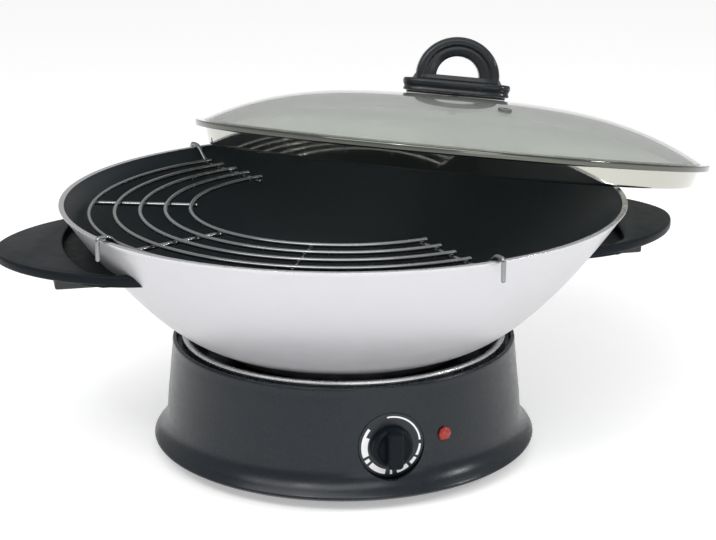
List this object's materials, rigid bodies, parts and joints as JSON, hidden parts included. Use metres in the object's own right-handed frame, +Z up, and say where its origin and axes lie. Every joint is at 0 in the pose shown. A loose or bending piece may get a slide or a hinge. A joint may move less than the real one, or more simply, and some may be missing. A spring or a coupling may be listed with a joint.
{
  "type": "electric wok",
  "caption": "Electric wok: heated round base with dial and pilot lamp, deep two-handled pan, wire draining rack hooked on the rim, and a domed glass lid with an arched knob.",
  "frame": {"origin": "on the wok's vertical axis, at the height of the table that the four feet stand on", "axes": "+X along the two pan handles, towards the right handle as seen from the front; +Z up; the dial and pilot lamp face -Y"},
  "size_m": [0.5139, 0.4958, 0.2418],
  "materials": {
    "charcoal_plastic": "moulded, fine matt grain",
    "black_phenolic": "moulded heat-proof plastic, satin",
    "grey_plastic": "moulded heat-proof plastic, matt",
    "black_enamel": "black heat-proof coating",
    "bare_aluminium": "turned, bare",
    "satin_silver": "satin silver outside, black non-stick inside, bright turned rim",
    "polished_steel": "mirror polished stainless steel",
    "zinc_steel": "zinc plated",
    "clear_glass": "toughened, faint grey-green",
    "red_lens": "clear red, faceted",
    "white_ceramic": "off-white ceramic and moulded insulator",
    "black_rubber": "soft, matt",
    "wire_insulation": "brown heat-proof sleeve"
  },
  "bodies": {
    "base": {"base_case": "charcoal_plastic", "bottom_cover": "black_enamel", "cover_screw_1": "zinc_steel", "cover_screw_2": "zinc_steel", "cover_screw_3": "zinc_steel", "cover_screw_4": "zinc_steel", "rubber_foot_1": "black_rubber", "rubber_foot_2": "black_rubber", "rubber_foot_3": "black_rubber", "rubber_foot_4": "black_rubber", "heat_dish": "black_enamel", "trim_ring": "polished_steel", "hotplate": "bare_aluminium", "hotplate_post_1": "white_ceramic", "hotplate_post_2": "white_ceramic", "hotplate_post_3": "white_ceramic", "heating_element": "zinc_steel", "element_clip_1": "zinc_steel", "element_clip_2": "zinc_steel", "heat_sensor": "bare_aluminium", "capillary_tube": "bare_aluminium", "thermostat_body": "white_ceramic", "thermostat_screw_1": "zinc_steel", "thermostat_screw_2": "zinc_steel", "dial_plate": "charcoal_plastic", "pilot_lens": "red_lens", "lamp_holder": "white_ceramic", "cord_gland": "black_rubber", "terminal_block": "white_ceramic", "thermal_fuse": "bare_aluminium", "supply_lead": "wire_insulation", "neutral_lead": "wire_insulation", "element_lead": "wire_insulation", "switched_lead": "wire_insulation"},
    "control_knob": {"knob": "black_phenolic", "thermostat_shaft": "zinc_steel"},
    "pan": {"wok_pan": "satin_silver", "pan_base_disc": "bare_aluminium", "handle_grip_left": "black_phenolic", "handle_bracket_left": "black_enamel", "handle_socket_left": "grey_plastic", "handle_grip_right": "black_phenolic", "handle_bracket_right": "black_enamel", "handle_socket_right": "grey_plastic", "handle_screw_left_1": "zinc_steel", "handle_screw_left_2": "zinc_steel", "handle_screw_right_1": "zinc_steel", "handle_screw_right_2": "zinc_steel"},
    "rack": {"draining_rack": "polished_steel"},
    "lid": {"lid_rim": "polished_steel", "lid_glass": "clear_glass", "steam_vent": "polished_steel", "lid_knob": "black_phenolic", "lid_knob_gasket": "black_rubber", "lid_knob_washer": "zinc_steel", "lid_knob_screw": "zinc_steel"}
  },
  "joints": [
    {"name": "knob_turn", "type": "hinge", "parent": "base", "child": "control_knob", "pos_m": [0.00419, -0.11993, 0.0374], "axis": [-0.0349, 0.9994, 0], "range_deg": [0, 290]},
    {"name": "pan_lift", "type": "slide", "parent": "base", "child": "pan", "axis": [0, 0, 1], "range_m": [0, 0.1]},
    {"name": "rack_lift", "type": "slide", "parent": "pan", "child": "rack", "axis": [0, 0, 1], "range_m": [0, 0.06]},
    {"name": "lid_lift", "type": "slide", "parent": "rack", "child": "lid", "axis": [0, 0, 1], "range_m": [0, 0.15]}
  ]
}
